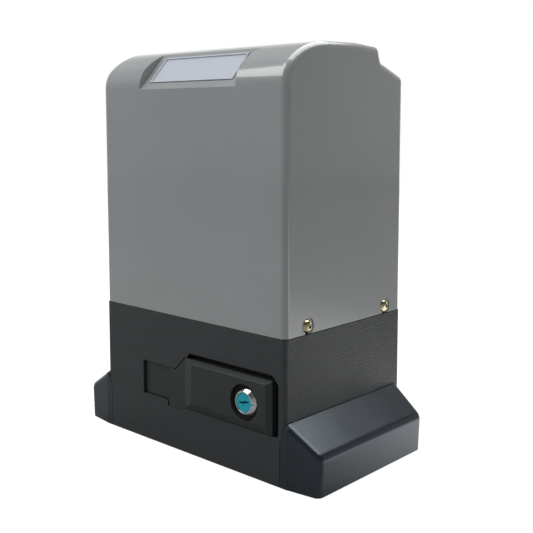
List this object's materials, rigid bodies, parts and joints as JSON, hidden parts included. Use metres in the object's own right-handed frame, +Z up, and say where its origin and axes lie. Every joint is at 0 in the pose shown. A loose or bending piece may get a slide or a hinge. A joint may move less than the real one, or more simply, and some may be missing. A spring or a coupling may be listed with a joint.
{
  "type": "sliding gate motor",
  "caption": "Sliding gate motor: base casting with worm gearbox, keyed release lever, rear rack pinion and spring limit switch, under a tall moulded cover.",
  "frame": {"origin": "centre of the four anchor slots, on the underside of the base", "axes": "+Z up, -Y the front with the release lever and lock, +Y the gate side with the pinion, +X the right-hand side seen from the front"},
  "size_m": [0.2716, 0.2008, 0.331],
  "materials": {
    "cover_plastic": "smooth semi-gloss moulded plastic, light grey",
    "housing_paint": "fine textured charcoal powder coat on an aluminium casting",
    "foot_plastic": "smooth black moulded plastic, slight sheen",
    "label_film": "bare pale field, satin",
    "lever_plastic": "fine textured charcoal moulding",
    "chrome_trim": "polished chrome",
    "plug_teal": "teal face of the lock plug",
    "steel": "ground and turned steel",
    "zinc_bolts": "bright zinc plated fasteners",
    "aluminium_cast": "as-cast and turned aluminium",
    "bronze": "tin bronze",
    "copper": "varnished copper winding",
    "lamination": "stacked electrical steel",
    "seal_rubber": "nitrile rubber",
    "gasket_fibre": "gasket sheet",
    "board_green": "glass-fibre board with green solder mask",
    "black_plastic": "black moulded plastic",
    "relay_blue": "blue relay cases",
    "terminal_green": "green screw terminals",
    "can_white": "white capacitor can"
  },
  "bodies": {
    "root": {"gearbox_housing": "housing_paint", "top_cover": "cover_plastic", "label_panel": "label_film", "foot_cover_right": "foot_plastic", "foot_cover_left": "foot_plastic", "cover_screws": "chrome_trim", "lever_hinge_pin": "steel", "output_cover": "aluminium_cast", "output_cover_bolts": "zinc_bolts", "output_cover_gasket": "gasket_fibre", "output_oil_seal": "seal_rubber", "output_bearing_front": "steel", "output_bearing_rear": "steel", "chamber_plate": "aluminium_cast", "chamber_screws": "zinc_bolts", "oil_plug": "zinc_bolts", "motor_bell_lower": "aluminium_cast", "motor_bell_upper": "aluminium_cast", "stator_core": "lamination", "stator_windings": "copper", "motor_bolts": "zinc_bolts", "worm_bearing_lower": "steel", "worm_bearing_upper": "steel", "rotor_bearing_top": "steel", "run_capacitor": "can_white", "capacitor_strap": "steel", "board_tray": "black_plastic", "control_board": "board_green", "board_screws": "zinc_bolts", "transformer": "lamination", "relays": "relay_blue", "terminal_strip": "terminal_green", "limit_switch_case": "black_plastic", "limit_pivot_pin": "steel", "levelling_screws": "zinc_bolts"},
    "lever": {"release_lever": "lever_plastic", "lock_bezel": "chrome_trim", "lock_shell": "steel"},
    "lock": {"lock_plug": "plug_teal", "lock_cam": "steel"},
    "plunger": {"release_plunger": "steel"},
    "output": {"output_shaft": "steel", "pinion": "steel", "pinion_key": "steel", "pinion_washer": "zinc_bolts", "pinion_bolt": "zinc_bolts", "clutch_spring": "steel"},
    "clutch": {"clutch_dog": "steel", "clutch_pin": "steel"},
    "wheel": {"worm_wheel": "bronze"},
    "rotor": {"worm_shaft": "steel", "rotor_core": "lamination"},
    "limit_arm": {"limit_spring_arm": "steel"}
  },
  "joints": [
    {"name": "output_spin", "type": "hinge", "parent": "root", "child": "output", "pos_m": [-0.046, 0, 0.056], "axis": [0, 1, 0], "continuous": true},
    {"name": "wheel_spin", "type": "hinge", "parent": "root", "child": "wheel", "pos_m": [-0.046, 0, 0.056], "axis": [0, 1, 0], "continuous": true},
    {"name": "rotor_spin", "type": "hinge", "parent": "root", "child": "rotor", "pos_m": [0.0065, 0.004, 0.1], "axis": [0, 0, 1], "continuous": true},
    {"name": "lever_swing", "type": "hinge", "parent": "root", "child": "lever", "pos_m": [-0.046, -0.0665, 0.0536], "axis": [0, 0, -1], "range_deg": [0, 90]},
    {"name": "lock_turn", "type": "hinge", "parent": "lever", "child": "lock", "pos_m": [0.0667, -0.07, 0.0585], "axis": [0, 1, 0], "range_deg": [0, 90]},
    {"name": "plunger_slide", "type": "slide", "parent": "root", "child": "plunger", "axis": [0, 1, 0], "range_m": [0, 0.006]},
    {"name": "clutch_slide", "type": "slide", "parent": "output", "child": "clutch", "axis": [0, 1, 0], "range_m": [0, 0.006], "deforming": ["clutch_spring"]},
    {"name": "limit_arm_swing", "type": "hinge", "parent": "root", "child": "limit_arm", "pos_m": [-0.046, 0.058, 0.1165], "axis": [0, 0, 1], "range_deg": [-20, 20], "stiffness_Nm_per_rad": 0.05}
  ],
  "couplings": [
    {"joint": "wheel_spin", "follows": "rotor_spin", "ratio": 0.033333},
    {"joint": "output_spin", "follows": "rotor_spin", "ratio": 0.033333},
    {"joint": "plunger_slide", "follows": "lever_swing", "m_per_rad": 0.0038},
    {"joint": "clutch_slide", "follows": "lever_swing", "m_per_rad": 0.0038}
  ]
}
